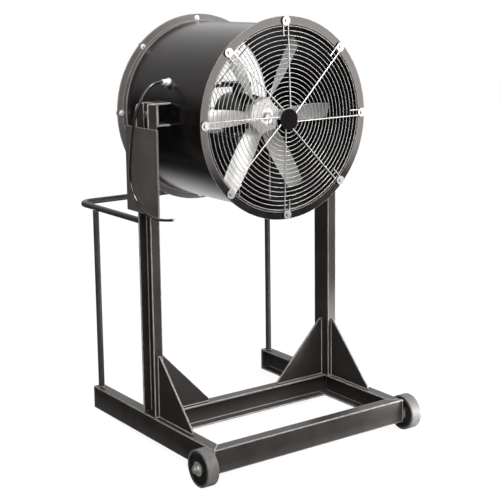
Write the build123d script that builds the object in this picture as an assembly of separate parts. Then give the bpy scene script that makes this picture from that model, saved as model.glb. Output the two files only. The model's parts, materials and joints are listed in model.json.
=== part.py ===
from build123d import *
from math import asin, atan2, cos, degrees, hypot, pi, radians, sin, tan
import os

# High-stand mobile drum fan. Millimetres. The unit is laid out level: X to the right, Y from the
# front (outlet) to the back, Z up, with zero at the front face, the underside of the rails and the
# centreline. At the end everything leans back onto its two front wheels and the rails' rear corners.

# ---------------------------------------------------------------- base frame
base_width = 990.6
base_length = 990.6
rail_depth = 101.6
rail_flange = 50.8
rail_wall = 6.35
rail_corner = 3.5
rail_inner_corner = 2.0
cope_gap = 2.5
upright_y = 507.0

# ---------------------------------------------------------------- uprights and gussets
upright_depth = 101.6
upright_flange = 43.7
upright_wall = 6.35
upright_top = 1425.0
upright_inset = 8.0
upright_corner_cut = 26.0
gusset_base = 256.0
gusset_height = 268.0
gusset_toe = 12.0
gusset_plate = 6.35

# ---------------------------------------------------------------- starter plate
starter_width = 254.0
starter_height = 355.6
starter_wall = 6.35
starter_top = 1328.0

# ---------------------------------------------------------------- push handle
handle_od = 26.7
handle_wall = 2.9
handle_height = 930.0
handle_back = 1115.0
handle_bend = 58.0
post_inset = 28.6
seat_gap = 0.2

# ---------------------------------------------------------------- wheels and axle
wheel_od = 152.4
wheel_width = 50.8
wheel_gap = 10.0
rim_od = 139.7
tread_round = 2.5
wheel_web = 12.0
wheel_rim_wall = 6.0
hub_od = 60.0
hub_proud = 2.0
bushing_od = 30.0
axle_d = 19.05
axle_y = 25.4
axle_z = 34.0
axle_hole_clearance = 0.4
running_clearance = 0.05
side_play = 0.3
spacer_od = 34.0
axle_washer_od = 36.0
axle_washer_wall = 3.0
axle_nut_flats = 28.6
axle_nut_height = 14.0
axle_tip = 4.0
fitting_d = 8.0
fitting_height = 9.0

# ---------------------------------------------------------------- drum
drum_y = upright_y
drum_z = 1355.0
drum_bore = 762.0
drum_wall = 3.4
drum_length = 660.4
ring_leg = 31.75
ring_wall = 4.76
guard_bolt_circle = 794.0
guard_bolt_count = 8

# ---------------------------------------------------------------- tilt pivot
bracket_height = 95.25
bracket_wall = 6.35
bracket_corner = 3.0
pivot_z = 1379.0
pivot_d = 19.05
pivot_head_flats = 28.6
pivot_head_height = 12.0
pivot_washer_od = 44.0
pivot_washer_wall = 3.0
pivot_nut_height = 16.0
pivot_tip = 3.0

# ---------------------------------------------------------------- guards
guard_wire = 3.0
spoke_wire = 5.4
wire_sink = 0.5
guard_ring_count = 18
ring_first_radius = 57.0
ring_last_radius = 376.0
guard_dish = 14.0
hairpin_gap = 24.0
short_leg = 62.0
guard_disc_d = 86.0
guard_disc_wall = 3.0
washer_od = 38.0
washer_wall = 2.0
guard_bolt_d = 7.9
guard_head_flats = 12.7
guard_head_height = 5.3
guard_nut_height = 6.5
guard_bolt_tip = 1.0
bolt_clearance = 0.3

# ---------------------------------------------------------------- propeller
blade_count = 6
blade_setback = 173.0
blade_tip_radius = 361.0
blade_root_radius = 60.0
blade_root_chord = 66.0
blade_middle_chord = 81.0
blade_tip_chord = 66.0
blade_lead = 125.0
blade_wall = 3.2
blade_camber = 0.07
blade_swept_width = 73.0
blade_front_corner = 20.0
blade_back_corner = 30.0
spider_turn = 17.5
spider_corner = 78.0
spider_nose_corner = 36.0
spider_flat = 24.0
spider_front = 40.0
spider_back = 28.0
shaft_d = 22.2
shaft_nose = 12.0
shaft_nut_flats = 33.0
shaft_nut_height = 12.0

# ---------------------------------------------------------------- motor and its stand
motor_od = 168.0
motor_wall = 6.0
motor_length = 132.0
bell_depth = 22.0
bell_boss_d = 76.0
bell_boss = 10.0
motor_front_setback = 228.0
stator_bore = 100.0
rotor_gap = 0.6
core_length = 90.0
bearing_od = 52.0
bearing_length = 15.0
bearing_recess = 1.0
motor_shaft_height = 89.0
foot_width = 166.0
foot_length = 120.0
foot_wall = 5.0
saddle_width = 110.0
saddle_height = 40.0
saddle_length = 100.0
stand_half_width = 84.0
stand_front_setback = 226.0
stand_length = 290.0
stand_wall = 6.0
motor_bolt_d = 9.5
motor_bolt_flats = 14.3
motor_bolt_head = 6.4
motor_nut_height = 8.0
motor_bolt_tip = 2.0
conduit_width = 84.0
conduit_length = 112.0
conduit_height = 18.0
conduit_rise = 28.0
conduit_neck = 40.0
conduit_back = 30.0
lead_d = 14.0
lead_bend = 150.0

# ---------------------------------------------------------------- power cord and its connector
cord_d = 12.0
connector_angle = 157.0
connector_turn = 25.0
connector_hub_d = 32.0
connector_hub_height = 8.0
connector_body_d = 21.0
connector_reach = 24.0
connector_clamp_start = 9.0
connector_inside = 12.0
locknut_od = 34.0
locknut_wall = 4.0
locknut_gap = 1.0
clamp_width = 26.0
clamp_wall = 6.0
clamp_pitch = 15.0
clamp_head_d = 8.0
clamp_head = 6.0

# How near an edge lies to a place to be picked by it.
pick = 0.01

# ================================================================ places worked out from the sizes
half_width = base_width / 2
handle_half_width = half_width - rail_flange / 2
post_y = base_length - post_inset
tip_x = half_width - upright_inset
web_x = tip_x - upright_flange
upright_height = upright_top - rail_depth
drum_od = drum_bore + 2 * drum_wall
ring_od = drum_od + 2 * ring_leg
drum_half = drum_length / 2
wheel_inner_x = half_width + wheel_gap
wheel_outer_x = wheel_inner_x + wheel_width
wheel_radius = wheel_od / 2
handle_radius = handle_od / 2

# The drum's own frame: z points out of the front, x right and y up as a viewer in front sees it.
drum_frame = Plane(origin=(0, drum_y, drum_z), x_dir=(1, 0, 0), z_dir=(0, -1, 0)).location
blade_z = drum_half - blade_setback
motor_front_z = drum_half - motor_front_setback
motor_frame_front = motor_front_z - bell_boss - bell_depth
motor_frame_back = motor_frame_front - motor_length
motor_middle = motor_frame_front - motor_length / 2
conduit_z = motor_middle - conduit_back

# The lean that brings the wheels and the rails' rear bottom corners to one floor.
corner_to_axle = hypot(base_length - axle_y, axle_z)
lean = degrees(asin(wheel_radius / corner_to_axle) - atan2(axle_z, base_length - axle_y))


def leaned(y, z):
    """Y and Z of a level point after the lean, before the part is moved to its origin."""
    return (y * cos(radians(lean)) + z * sin(radians(lean)),
            z * cos(radians(lean)) - y * sin(radians(lean)))


front_reach = leaned(axle_y, axle_z)[0] - wheel_radius
back_reach = leaned(handle_back, handle_height)[0] + handle_radius
floor_z = leaned(base_length, 0)[1]
standing = Pos(0, -(front_reach + back_reach) / 2, -floor_z) * Rot(-lean, 0, 0)


def mirrored(shape):
    """The right-hand twin of a left-hand piece."""
    return mirror(shape, about=Plane.YZ)


def rod(radius, length, start=0.0):
    """A round bar along +Z from z = start."""
    return Pos(0, 0, start) * Cylinder(radius, length, align=(Align.CENTER, Align.CENTER, Align.MIN))


def tube(outer, inner, length, start=0.0):
    """A round tube along +Z, by radii."""
    return rod(outer, length, start) - rod(inner, length, start)


def hex_bar(flats, height, start=0.0, bore=0.0):
    """A hexagon across its flats along +Z, bored when a bore radius is given."""
    bar = Pos(0, 0, start) * extrude(RegularPolygon(flats / 2, 6, major_radius=False), height)
    return bar - rod(bore, height, start) if bore else bar


def along_x(x, y, z):
    """A place whose local Z runs along +X."""
    return Location(Plane(origin=(x, y, z), x_dir=(0, 1, 0), z_dir=(1, 0, 0)))


# ================================================================ base frame
def channel_section(depth, flange, wall, corner, inner_corner):
    """A channel's section: web along x = 0, flanges towards +x."""
    face = Rectangle(flange, depth, align=(Align.MIN, Align.CENTER))
    face -= Pos(wall, 0) * Rectangle(flange, depth - 2 * wall, align=(Align.MIN, Align.CENTER))
    inner = face.vertices().filter_by_position(Axis.X, wall - pick, wall + pick)
    face = fillet(inner, inner_corner)
    outer = face.vertices().filter_by_position(Axis.X, -pick, pick)
    return fillet(outer, corner)


def rail(start, x_dir, run, length):
    """A base channel from start along run, with its flanges towards x_dir."""
    section = channel_section(rail_depth, rail_flange, rail_wall, rail_corner, rail_inner_corner)
    return extrude(Plane(origin=start, x_dir=x_dir, z_dir=run) * section, length)


# Mitre through the front left corner, seen from above: the side rail keeps the back of it.
left_mitre = Plane(origin=(-half_width, 0, 0), x_dir=(1, 1, 0), z_dir=(-1, 1, 0))
right_mitre = Plane(origin=(half_width, 0, 0), x_dir=(1, -1, 0), z_dir=(1, 1, 0))


def left_side_rail():
    """Side channel, web outwards, mitred at the front and drilled for the axle."""
    body = rail((-half_width, base_length, rail_depth / 2), (1, 0, 0), (0, -1, 0), base_length)
    body = split(body, bisect_by=left_mitre, keep=Keep.TOP)
    hole = rod(axle_d / 2 + axle_hole_clearance, 2 * rail_wall, -rail_wall / 2)
    return body - along_x(-half_width, axle_y, axle_z) * hole


def front_cross_rail():
    """Front channel, web to the front, mitred at both ends."""
    body = rail((-half_width, 0, rail_depth / 2), (0, 1, 0), (1, 0, 0), base_width)
    body = split(body, bisect_by=left_mitre, keep=Keep.BOTTOM)
    return split(body, bisect_by=right_mitre, keep=Keep.BOTTOM)


def middle_cross_rail():
    """Channel under the uprights, web to the back, its web coped into the side rails."""
    reach = half_width - rail_flange
    back = upright_y + rail_flange / 2
    body = rail((reach, back, rail_depth / 2), (0, -1, 0), (-1, 0, 0), 2 * reach)
    web_height = rail_depth - 2 * rail_wall - 2 * cope_gap
    web = Box(2 * (half_width - rail_wall), rail_wall, web_height)
    return body + Pos(0, back - rail_wall / 2, rail_depth / 2) * web


def left_rail_end_cap():
    """Plate let into the rear end of the side rail."""
    plate = Box(rail_flange - rail_wall, rail_wall, rail_depth - 2 * rail_wall)
    x = -half_width + (rail_flange + rail_wall) / 2
    cap = Pos(x, base_length - rail_wall / 2, rail_depth / 2) * plate
    edges = cap.edges().filter_by(Axis.Y).filter_by_position(Axis.X, -half_width, x)
    return fillet(edges, rail_inner_corner)


# ================================================================ uprights, gussets, starter plate
def left_upright():
    """Channel post, web towards the drum, with the back flange rounded off at the top."""
    section = channel_section(upright_depth, upright_flange, upright_wall,
                              rail_corner, rail_inner_corner)
    foot = Plane(origin=(-web_x, upright_y, upright_top), x_dir=(-1, 0, 0), z_dir=(0, 0, -1))
    post = extrude(foot * section, upright_height)
    tips = post.edges().filter_by(Axis.Y).filter_by_position(Axis.Z, upright_top - pick, upright_top + pick)
    tips = tips.filter_by_position(Axis.X, -tip_x - pick, -tip_x + pick)
    post = fillet(tips.sort_by(Axis.Y)[-1], upright_corner_cut)
    hole = rod(pivot_d / 2 + running_clearance, 2 * upright_wall, -1.5 * upright_wall)
    return post - along_x(-web_x, upright_y, pivot_z) * hole


def gusset_outline():
    """Blunt-toed triangle: x out along the rail, y up the post."""
    points = [(0, 0), (gusset_base, 0), (gusset_base, gusset_toe), (gusset_toe, gusset_height),
              (0, gusset_height)]
    return make_face(Polyline(*points, close=True))


def left_front_gusset():
    """Plate along the side rail, in front of the post and half-way across its flange."""
    x = -(web_x + tip_x) / 2 - gusset_plate / 2
    place = Plane(origin=(x, upright_y - upright_depth / 2, rail_depth), x_dir=(0, -1, 0),
                  z_dir=(-1, 0, 0))
    return Pos(gusset_plate, 0, 0) * extrude(place * gusset_outline(), gusset_plate)


def left_cross_gusset():
    """Plate along the middle rail, inwards from the post's web."""
    place = Plane(origin=(-web_x, upright_y + gusset_plate / 2, rail_depth), x_dir=(1, 0, 0),
                  z_dir=(0, -1, 0))
    return extrude(place * gusset_outline(), gusset_plate)


def starter_plate():
    """Blank plate across the left post's flanges, where a motor starter is fixed."""
    plate = Box(starter_wall, starter_width, starter_height)
    plate = fillet(plate.edges().filter_by(Axis.X), rail_corner)
    return Pos(-tip_x - starter_wall / 2, upright_y, starter_top - starter_height / 2) * plate


# ================================================================ push handle
def handle_tube():
    """One bent tube from the back of one post round behind the drum to the other."""
    front = upright_y + upright_depth / 2
    corners = [(-handle_half_width, front, handle_height),
               (-handle_half_width, handle_back, handle_height),
               (handle_half_width, handle_back, handle_height),
               (handle_half_width, front, handle_height)]
    path = FilletPolyline(*corners, radius=handle_bend)
    ring = Circle(handle_radius) - Circle(handle_radius - handle_wall)
    return sweep(Plane(origin=path @ 0, z_dir=path % 0) * ring, path=path)


def left_handle_post():
    """Tube from the rail's top up to the handle, its end saddled to the handle's underside."""
    post = tube(handle_radius, handle_radius - handle_wall, handle_height - rail_depth)
    post = Pos(-handle_half_width, post_y, rail_depth) * post
    saddle = Plane(origin=(-handle_half_width, 0, handle_height), x_dir=(1, 0, 0), z_dir=(0, 1, 0))
    return post - Location(saddle) * rod(handle_radius + seat_gap, base_length + handle_back)


# ================================================================ wheels and axle
def left_wheel(shape):
    """Puts a wheel piece, made along +Z with z = 0 at its middle, in the left wheel's place."""
    return along_x(-(wheel_inner_x + wheel_outer_x) / 2, axle_y, axle_z) * shape


def wheel_tread():
    """Moulded tyre with rounded shoulders."""
    ring = tube(wheel_radius, rim_od / 2, wheel_width, -wheel_width / 2)
    rims = ring.edges().filter_by(GeomType.CIRCLE).filter_by(lambda edge: edge.radius > rim_od / 2 + pick)
    return fillet(rims, tread_round)


def wheel_core():
    """Rim, thin disc and hub in one casting; the hub stands a little proud of the outer face."""
    rim = tube(rim_od / 2, rim_od / 2 - wheel_rim_wall, wheel_width, -wheel_width / 2)
    disc = tube(rim_od / 2 - wheel_rim_wall, hub_od / 2, wheel_web, -wheel_web / 2)
    hub = tube(hub_od / 2, bushing_od / 2, wheel_width + hub_proud, -wheel_width / 2 - hub_proud)
    return rim + disc + hub


def wheel_bushing():
    """Plain bearing pressed into the hub."""
    length = wheel_width + hub_proud
    return tube(bushing_od / 2, axle_d / 2 + running_clearance, length, -wheel_width / 2 - hub_proud)


def wheel_fitting():
    """Grease fitting on the hub's outer end, above the axle."""
    radius = (hub_od + axle_washer_od) / 4
    start = -wheel_width / 2 - hub_proud - fitting_height
    body = rod(fitting_d / 2, fitting_height, start)
    nose = body.edges().filter_by(GeomType.CIRCLE).sort_by(Axis.Z)[0]
    return Pos(0, radius, 0) * chamfer(nose, fitting_d / 4)


def wheel_end(shape):
    """Puts a piece on the axle's left end: local z = 0 is the wheel's outer hub face."""
    place = Plane(origin=(-wheel_outer_x - hub_proud, axle_y, axle_z), x_dir=(0, 1, 0),
                  z_dir=(-1, 0, 0))
    return Location(place) * shape


axle_half = wheel_outer_x + hub_proud + side_play + axle_washer_wall + axle_nut_height + axle_tip


def axle():
    """Rod through both side rails and the front channel."""
    return along_x(-axle_half, axle_y, axle_z) * rod(axle_d / 2, 2 * axle_half)


def left_axle_spacer():
    """Collar that keeps the wheel off the rail."""
    collar = tube(spacer_od / 2, axle_d / 2 + running_clearance, wheel_gap - side_play)
    return along_x(-half_width - wheel_gap + side_play, axle_y, axle_z) * collar


def left_axle_washer():
    """Washer outside the hub, held there by the nut."""
    return wheel_end(tube(axle_washer_od / 2, axle_d / 2 + running_clearance, axle_washer_wall,
                          side_play))


def left_axle_nut():
    """Hexagon nut on the axle's end."""
    start = side_play + axle_washer_wall
    return wheel_end(hex_bar(axle_nut_flats, axle_nut_height, start, axle_d / 2))


# ================================================================ tilt pivot
def left_trunnion_bracket():
    """Channel cut welded to the drum's side, its flanges coped to the shell, its web on the post."""
    outer = web_x - side_play
    section = Rectangle(outer, bracket_height, align=(Align.MAX, Align.CENTER))
    section -= Pos(-bracket_wall, 0) * Rectangle(outer, bracket_height - 2 * bracket_wall,
                                                 align=(Align.MAX, Align.CENTER))
    corners = section.vertices().filter_by_position(Axis.X, -pick, pick)
    section = fillet(corners, bracket_corner)
    place = Plane(origin=(-outer, upright_y - upright_depth / 2, pivot_z), x_dir=(-1, 0, 0),
                  z_dir=(0, 1, 0))
    body = extrude(place * section, upright_depth)
    body -= drum_frame * rod(drum_od / 2, drum_length, -drum_half)
    body = body.solids().sort_by(Axis.X)[0]
    hole = rod(pivot_d / 2 + running_clearance, 3 * bracket_wall, -bracket_wall)
    return body - along_x(-outer, upright_y, pivot_z) * hole


def pivot_place(shape):
    """Puts a piece on the left pivot: local z = 0 is the bracket's inner face, z towards -X."""
    x = -(web_x - side_play - bracket_wall)
    place = Plane(origin=(x, upright_y, pivot_z), x_dir=(0, 1, 0), z_dir=(-1, 0, 0))
    return Location(place) * shape


pivot_grip = bracket_wall + side_play + upright_wall


def left_pivot_bolt():
    """Bolt that the drum tilts on, its head inside the bracket."""
    head = hex_bar(pivot_head_flats, pivot_head_height, -side_play - pivot_head_height)
    length = pivot_grip + pivot_washer_wall + pivot_nut_height + pivot_tip + side_play
    return pivot_place(head + rod(pivot_d / 2, length, -side_play))


def left_pivot_washer():
    """Washer inside the post, under the nut."""
    return pivot_place(tube(pivot_washer_od / 2, pivot_d / 2 + running_clearance,
                            pivot_washer_wall, pivot_grip))


def left_pivot_nut():
    """Nut that sets how stiffly the drum tilts."""
    return pivot_place(hex_bar(pivot_head_flats, pivot_nut_height, pivot_grip + pivot_washer_wall,
                               pivot_d / 2))


# ================================================================ drum
def polar(shape, count, first=0.0):
    """Copies of a shape round the drum's axis."""
    return [Rot(0, 0, first + 360 * i / count) * shape for i in range(count)]


connector_seat = Rot(0, 0, connector_angle) * Pos(drum_od / 2, 0, 0) * Rot(0, 90, 0)


def drum_shell():
    """Rolled shell, open at both ends, with the hole for the cord connector."""
    shell = tube(drum_od / 2, drum_bore / 2, drum_length, -drum_half)
    hole = connector_seat * rod(connector_body_d / 2 + bolt_clearance, 4 * drum_wall, -3 * drum_wall)
    return shell - hole


def flange_ring():
    """Angle ring round the front end: one leg flush with the end, one along the shell."""
    inner = drum_od / 2
    points = [(inner, drum_half), (inner, drum_half - ring_leg),
              (inner + ring_wall, drum_half - ring_leg), (inner + ring_wall, drum_half - ring_wall),
              (ring_od / 2, drum_half - ring_wall), (ring_od / 2, drum_half)]
    ring = revolve(make_face(Plane.XZ * Polyline(*points, close=True)), Axis.Z)
    hole = Pos(guard_bolt_circle / 2, 0, 0) * rod(guard_bolt_d / 2 + bolt_clearance, drum_half)
    return ring - polar(hole, guard_bolt_count)


def rear_side(shape):
    """A front piece turned round to the back of the drum."""
    return mirror(shape, about=Plane.XY)


# ================================================================ guards
def dished(radius):
    """How far a guard wire at this radius stands in front of the flange's face."""
    return guard_dish * (1 - radius / ring_last_radius) if radius < ring_last_radius else 0.0


def guard_rings():
    """Concentric wires behind the spokes, each sunk a little into them by its welds."""
    rings = []
    for i in range(guard_ring_count):
        share = i / (guard_ring_count - 1)
        radius = ring_first_radius + share * (ring_last_radius - ring_first_radius)
        back = drum_half + dished(radius) + wire_sink - guard_wire
        rings.append(tube(radius + guard_wire / 2, radius - guard_wire / 2, guard_wire, back))
    return rings


spoke_end_radius = guard_disc_d / 2 - spoke_wire


def spoke_leg(inner_radius):
    """One leg of a hairpin spoke, seen from the side, bent where the dish begins."""
    outer_radius = guard_bolt_circle / 2
    front = drum_half + spoke_wire
    points = [(inner_radius, drum_half + dished(inner_radius)), (ring_last_radius, drum_half),
              (outer_radius, drum_half), (outer_radius, front), (ring_last_radius, front),
              (inner_radius, front + dished(inner_radius))]
    profile = make_face(Plane.XZ * Polyline(*points, close=True))
    return extrude(profile, spoke_wire / 2, both=True)


def hairpin_spoke():
    """Wire from the middle disc out, round the flange bolt and a short way back."""
    half_gap = hairpin_gap / 2
    bend = tube(half_gap + spoke_wire / 2, half_gap - spoke_wire / 2, spoke_wire, drum_half)
    half_space = Box(4 * half_gap, 4 * half_gap, 4 * drum_length, align=(Align.MIN, Align.CENTER,
                                                                       Align.CENTER))
    bend = Pos(guard_bolt_circle / 2, 0, 0) * (bend & half_space)
    long_leg = Pos(0, -half_gap, 0) * spoke_leg(spoke_end_radius)
    short = Pos(0, half_gap, 0) * spoke_leg(guard_bolt_circle / 2 - short_leg)
    return bend + long_leg + short


def guard():
    """Welded wire guard of one end: rings, and a hairpin spoke at each flange bolt."""
    return Part() + polar(hairpin_spoke(), guard_bolt_count) + guard_rings()


def guard_disc():
    """Bare disc on the spokes' inner ends."""
    seat = drum_half + dished(spoke_end_radius) + spoke_wire
    return rod(guard_disc_d / 2, guard_disc_wall, seat + seat_gap)


def at_guard_bolts(shape):
    """A fastener at every guard bolt of both ends, from one made at the front face."""
    front = polar(Pos(guard_bolt_circle / 2, 0, drum_half) * shape, guard_bolt_count)
    return Compound(front + [rear_side(one) for one in front])


def guard_washers():
    """Big washers that clamp the spokes' bends to the flanges."""
    return at_guard_bolts(tube(washer_od / 2, guard_bolt_d / 2 + running_clearance, washer_wall,
                               spoke_wire))


def guard_bolts():
    """Bolts through washers and flanges."""
    head = hex_bar(guard_head_flats, guard_head_height, spoke_wire + washer_wall)
    length = spoke_wire + washer_wall + ring_wall + guard_nut_height + guard_bolt_tip
    shank = rod(guard_bolt_d / 2, length, spoke_wire + washer_wall - length)
    return at_guard_bolts(head + shank)


def guard_nuts():
    """Nuts behind the flanges."""
    return at_guard_bolts(hex_bar(guard_head_flats, guard_nut_height, -ring_wall - guard_nut_height,
                                  guard_bolt_d / 2))


# ================================================================ propeller
def blade_section(radius, chord):
    """Thin arched strip across a blade at one radius, hollow to the front."""
    sag = -blade_camber * chord
    half = chord / 2
    low = ThreePointArc((-half, 0), (0, sag), (half, 0))
    high = ThreePointArc((-half, blade_wall), (0, sag + blade_wall), (half, blade_wall))
    ends = [Line(low @ 0, high @ 0), Line(low @ 1, high @ 1)]
    face = make_face(Curve() + [low, high] + ends)
    place = Plane(origin=(radius, 0, blade_z), x_dir=(0, 1, 0), z_dir=(1, 0, 0))
    return place * Rot(0, 0, degrees(atan2(blade_lead, radius))) * face


def blade():
    """One twisted blade of constant lead, widest at mid-span, with rounded tip corners."""
    sections = []
    for share in (0.0, 0.33, 0.67, 1.0):
        radius = blade_root_radius + share * (blade_tip_radius - blade_root_radius)
        chord = (blade_root_chord * (1 - share) * (1 - 2 * share)
                 + blade_middle_chord * 4 * share * (1 - share)
                 + blade_tip_chord * share * (2 * share - 1))
        sections.append(blade_section(radius, chord))
    outline = Rectangle(blade_tip_radius, blade_swept_width, align=(Align.MIN, Align.CENTER))
    tips = outline.vertices().group_by(Axis.X)[-1].sort_by(Axis.Y)
    outline = fillet(tips[0], blade_back_corner)
    tips = outline.vertices().group_by(Axis.Y)[-1].sort_by(Axis.X)
    outline = fillet(tips[-1], blade_front_corner)
    return loft(sections) & extrude(outline, drum_half)


def hub_outline(corner_radius):
    """The hub's hexagon, turned so that a corner meets each blade's front edge."""
    return Rot(0, 0, spider_turn) * RegularPolygon(corner_radius, blade_count)


def propeller_hub():
    """Cast six-sided hub with a coned front, bored for the shaft."""
    body = Pos(0, 0, -spider_back) * extrude(hub_outline(spider_corner), spider_back + spider_flat)
    cone = loft([Pos(0, 0, spider_flat) * hub_outline(spider_corner),
                 Pos(0, 0, spider_front) * hub_outline(spider_nose_corner)])
    bore = rod(shaft_d / 2, spider_front + spider_back, -spider_back)
    return Pos(0, 0, blade_z) * (body + cone - bore)


# ================================================================ motor, on its stand in the drum
def motor_frame():
    """Motor barrel."""
    return tube(motor_od / 2, motor_od / 2 - motor_wall, motor_length, motor_frame_back)


def motor_front_bell():
    """End bell with a boss that holds the bearing."""
    seat = bearing_od / 2
    points = [(seat, 0), (motor_od / 2, 0), (motor_od / 2, bell_depth / 2),
              (motor_od * 0.4, bell_depth), (bell_boss_d / 2, bell_depth),
              (bell_boss_d / 2, bell_depth + bell_boss), (seat, bell_depth + bell_boss)]
    bell = revolve(make_face(Plane.XZ * Polyline(*points, close=True)), Axis.Z)
    return Pos(0, 0, motor_frame_front) * bell


def motor_turned(shape):
    """A piece of the motor's front end turned round to its back end."""
    return mirror(shape, about=Plane.XY.offset(motor_middle))


def motor_front_bearing():
    """Ball bearing, drawn as one ring, in the front bell."""
    start = motor_front_z - bearing_length - bearing_recess
    return tube(bearing_od / 2, shaft_d / 2 + running_clearance, bearing_length, start)


def motor_stator():
    """Wound core fixed in the barrel."""
    return tube(motor_od / 2 - motor_wall, stator_bore / 2, core_length,
                motor_middle - core_length / 2)


def motor_rotor():
    """Rotor core on the shaft."""
    return tube(stator_bore / 2 - rotor_gap, shaft_d / 2, core_length,
                motor_middle - core_length / 2)


def motor_shaft():
    """Shaft through both bearings, the rotor and the propeller's hub."""
    back = 2 * motor_middle - motor_front_z
    return rod(shaft_d / 2, blade_z + spider_front + shaft_nose - back, back)


def shaft_nut():
    """Nut that holds the hub on the shaft."""
    return hex_bar(shaft_nut_flats, shaft_nut_height, blade_z + spider_front, shaft_d / 2)


def motor_foot():
    """Base plate with a saddle welded to the barrel, drilled for four bolts."""
    low = -motor_shaft_height
    plate = Pos(0, low, motor_middle) * Box(foot_width, foot_wall, foot_length,
                                            align=(Align.CENTER, Align.MIN, Align.CENTER))
    saddle = Pos(0, low, motor_middle) * Box(saddle_width, saddle_height, saddle_length,
                                             align=(Align.CENTER, Align.MIN, Align.CENTER))
    saddle -= rod(motor_od / 2, 2 * foot_length, motor_middle - foot_length)
    return plate + saddle - motor_bolt_holes()


def at_motor_bolts(shape):
    """Copies at the foot's four bolts; local z runs up from the foot's top face."""
    x = (foot_width + saddle_width) / 4
    z = foot_length / 2 - motor_bolt_flats
    copies = []
    for side in (-x, x):
        for end in (-z, z):
            place = Pos(side, foot_wall - motor_shaft_height, motor_middle + end) * Rot(-90, 0, 0)
            copies.append(place * shape)
    return copies


def motor_bolt_holes():
    """Drillings for the motor's bolts."""
    depth = 3 * (foot_wall + stand_wall)
    return at_motor_bolts(rod(motor_bolt_d / 2 + bolt_clearance, depth, -depth / 2))


def motor_bolts():
    """Bolts down through the foot and the stand's top."""
    grip = foot_wall + stand_wall + motor_nut_height + motor_bolt_tip
    bolt = hex_bar(motor_bolt_flats, motor_bolt_head) + rod(motor_bolt_d / 2, grip, -grip)
    return Compound(at_motor_bolts(bolt))


def motor_nuts():
    """Nuts under the stand's top."""
    start = -foot_wall - stand_wall - motor_nut_height
    return Compound(at_motor_bolts(hex_bar(motor_bolt_flats, motor_nut_height, start,
                                           motor_bolt_d / 2)))


def motor_stand():
    """Folded plate stand, its two sides cut to the round of the shell they are welded to."""
    top = -motor_shaft_height
    low = -drum_bore / 2
    middle = drum_half - stand_front_setback - stand_length / 2
    align = (Align.CENTER, Align.MAX, Align.CENTER)
    outer = Pos(0, top, middle) * Box(2 * stand_half_width, top - low, stand_length, align=align)
    outer = fillet(outer.edges().filter_by(Axis.Z).sort_by(Axis.Y)[-2:], stand_wall)
    inner = Pos(0, top - stand_wall, middle) * Box(2 * (stand_half_width - stand_wall), top - low,
                                                   2 * stand_length, align=align)
    stand = (outer - inner) & rod(drum_bore / 2, drum_length, -drum_half)
    return stand - motor_bolt_holes()


def conduit_box():
    """Terminal box on a neck above the barrel."""
    radius = motor_od / 2
    box = Pos(0, radius + conduit_rise, conduit_z) * Box(
        conduit_width, conduit_height, conduit_length, align=(Align.CENTER, Align.MIN, Align.CENTER))
    box = fillet(box.edges().filter_by(Axis.Y), 2 * rail_corner)
    neck = Pos(0, 0, conduit_z + conduit_neck / 2) * Box(
        conduit_neck, radius + conduit_rise, conduit_neck,
        align=(Align.CENTER, Align.MIN, Align.CENTER))
    neck -= rod(radius, drum_length, -drum_half)
    return box + neck


# ================================================================ cord connector and cord
def at_connector(shape):
    """Puts a piece on the shell at the connector: z outwards, y down round the shell."""
    return connector_seat * shape


def at_outlet(shape):
    """Puts a piece on the connector's outlet, which leans down: z along the cord, y below it."""
    return at_connector(Pos(0, 0, connector_hub_height) * Rot(-connector_turn, 0, 0) * shape)


def cord_connector():
    """Connector: round foot on the shell, outlet leaning down, threaded end through the shell."""
    foot = at_connector(rod(connector_hub_d / 2, connector_hub_height + drum_wall, -drum_wall))
    foot -= rod(drum_od / 2, drum_length, -drum_half)
    thread = drum_wall + connector_inside
    inside = at_connector(rod(connector_body_d / 2, thread + connector_hub_height, -thread))
    elbow = at_outlet(Sphere(connector_body_d / 2))
    return foot + inside + elbow + at_outlet(rod(connector_body_d / 2, connector_reach))


def connector_locknut():
    """Locknut inside the shell."""
    start = -drum_wall - locknut_gap - locknut_wall
    return at_connector(tube(locknut_od / 2, connector_body_d / 2, locknut_wall, start))


def connector_clamp():
    """Clamp bar under the connector's body."""
    length = connector_reach - connector_clamp_start
    bar = Box(clamp_width, clamp_wall, length, align=(Align.CENTER, Align.MIN, Align.MIN))
    bar = fillet(bar.edges().filter_by(Axis.Y), clamp_wall / 2)
    return at_outlet(Pos(0, connector_body_d / 2, connector_clamp_start) * bar)


def clamp_screws():
    """The clamp's two round-headed screws, driven from below."""
    middle = (connector_reach + connector_clamp_start) / 2
    head = Rot(-90, 0, 0) * rod(clamp_head_d / 2, clamp_head)
    low = connector_body_d / 2 + clamp_wall
    return Compound([at_outlet(Pos(x, low, middle) * head)
                     for x in (-clamp_pitch / 2, clamp_pitch / 2)])


def motor_lead():
    """Flexible metal conduit from the connector to the terminal box."""
    start = connector_seat * Pos(0, 0, -drum_wall - connector_inside)
    inward = Vector(-cos(radians(connector_angle)), -sin(radians(connector_angle)), 0)
    first = start.position
    level = motor_od / 2 + conduit_rise + conduit_height / 2
    corner = first + inward * ((level - first.Y) / inward.Y)
    path = FilletPolyline(first, corner, Vector(-conduit_width / 2, level, 0), radius=lead_bend)
    return sweep(Plane(origin=path @ 0, z_dir=path % 0) * Circle(lead_d / 2), path=path)


exit_run = 29.0
exit_start = drum_frame * at_outlet(Pos(0, 0, connector_reach))
exit_end = drum_frame * at_outlet(Pos(0, 0, connector_reach + exit_run))

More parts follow.
